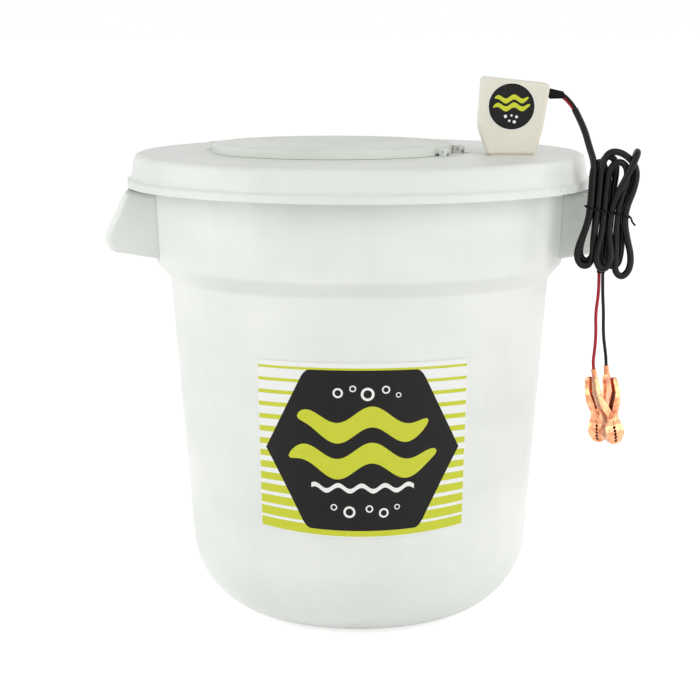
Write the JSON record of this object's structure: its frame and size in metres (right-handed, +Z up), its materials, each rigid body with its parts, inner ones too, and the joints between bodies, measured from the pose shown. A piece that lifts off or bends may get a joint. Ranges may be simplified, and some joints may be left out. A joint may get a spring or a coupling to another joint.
{
  "type": "aerated bait bucket",
  "caption": "Round white bait bucket with moulded side handles, a push-on lid with a hinged access door, and a battery aerator with corded battery clips.",
  "frame": {"origin": "middle of the bucket's floor, on its base", "axes": "+Z up, -Y the side with the front label, +X the side with the aerator and its cord"},
  "size_m": [0.488, 0.435, 0.509],
  "materials": {
    "bucket_plastic": "smooth, satin, faintly translucent white polypropylene",
    "lid_plastic": "fine matt pale grey-white polypropylene",
    "housing_plastic": "satin ivory ABS",
    "tube_plastic": "satin white",
    "black_plastic": "satin black nylon",
    "label_film": "printed film: black and lime shapes on white",
    "black_rubber": "soft black rubber",
    "pale_rubber": "soft pale rubber",
    "black_sheath": "soft black PVC with a dull shine",
    "red_sheath": "dark red PVC",
    "tie_coat": "black plastic coated wire",
    "copper_plate": "bright copper plated steel sheet",
    "spring_steel": "drawn wire",
    "zinc_steel": "zinc plated",
    "motor_steel": "nickel plated steel",
    "core_steel": "stacked laminations",
    "ferrite": "dull grey ferrite",
    "copper": "bright copper",
    "contact_brass": "bright brass",
    "carbon": "pressed carbon"
  },
  "bodies": {
    "bucket": {"bucket_body": "bucket_plastic", "left_grip": "bucket_plastic", "right_grip": "bucket_plastic", "front_label": "label_film"},
    "lid": {"lid": "lid_plastic", "hinge_pins": "zinc_steel"},
    "door": {"access_door": "lid_plastic"},
    "rotor": {"armature_core": "core_steel", "armature_windings": "copper", "commutator": "copper", "motor_shaft": "motor_steel", "shaft_coupling": "black_plastic", "drive_shaft": "motor_steel", "impeller": "black_plastic"},
    "red_jaw": {"red_clip_moving_jaw": "copper_plate"},
    "black_jaw": {"black_clip_moving_jaw": "copper_plate"},
    "pump": {"front_cover": "housing_plastic", "rear_cover": "housing_plastic", "case_screws": "zinc_steel", "case_sticker": "label_film", "base_gasket": "pale_rubber", "pump_base": "housing_plastic", "motor_screws": "zinc_steel", "motor_can": "motor_steel", "motor_magnets": "ferrite", "motor_end_cap": "black_plastic", "motor_terminals": "contact_brass", "motor_bushes": "contact_brass", "motor_brushes": "carbon", "down_tube": "tube_plastic", "tube_bearing": "tube_plastic", "intake_cage": "tube_plastic", "strain_relief": "black_rubber", "motor_wires": "black_sheath", "pump_lead_red": "red_sheath", "pump_lead_black": "black_sheath", "power_cord": "black_sheath", "cord_hank": "black_sheath", "hank_tie": "tie_coat", "cord_splice": "black_rubber", "clip_lead_red": "red_sheath", "clip_lead_black": "black_sheath", "red_clip_fixed_jaw": "copper_plate", "red_clip_rivet": "copper_plate", "red_clip_spring": "spring_steel", "black_clip_fixed_jaw": "copper_plate", "black_clip_rivet": "copper_plate", "black_clip_spring": "spring_steel"}
  },
  "joints": [
    {"name": "lid_lift", "type": "slide", "parent": "bucket", "child": "lid", "axis": [0, 0, 1], "range_m": [0, 0.3]},
    {"name": "door_hinge", "type": "hinge", "parent": "lid", "child": "door", "pos_m": [0.08542, -0.03716, 0.4413], "axis": [0.319, 0.9478, 0], "range_deg": [0, 95]},
    {"name": "pump_lift", "type": "slide", "parent": "lid", "child": "pump", "axis": [0, 0, 1], "range_m": [0, 0.3]},
    {"name": "rotor_spin", "type": "hinge", "parent": "pump", "child": "rotor", "pos_m": [0.1388, -0.039, 0.45], "axis": [0, 0, 1], "continuous": true},
    {"name": "red_clip_hinge", "type": "hinge", "parent": "pump", "child": "red_jaw", "pos_m": [0.2286, -0.1004, 0.2043], "axis": [0.2382, -0.9703, 0.042], "range_deg": [0, 26], "stiffness_Nm_per_rad": 0.3, "springref_deg": -34.38, "deforming": ["red_clip_spring"]},
    {"name": "black_clip_hinge", "type": "hinge", "parent": "pump", "child": "black_jaw", "pos_m": [0.2204, -0.0795, 0.2024], "axis": [0.4995, 0.866, 0.0218], "range_deg": [0, 26], "stiffness_Nm_per_rad": 0.3, "springref_deg": -34.38, "deforming": ["black_clip_spring"]}
  ]
}
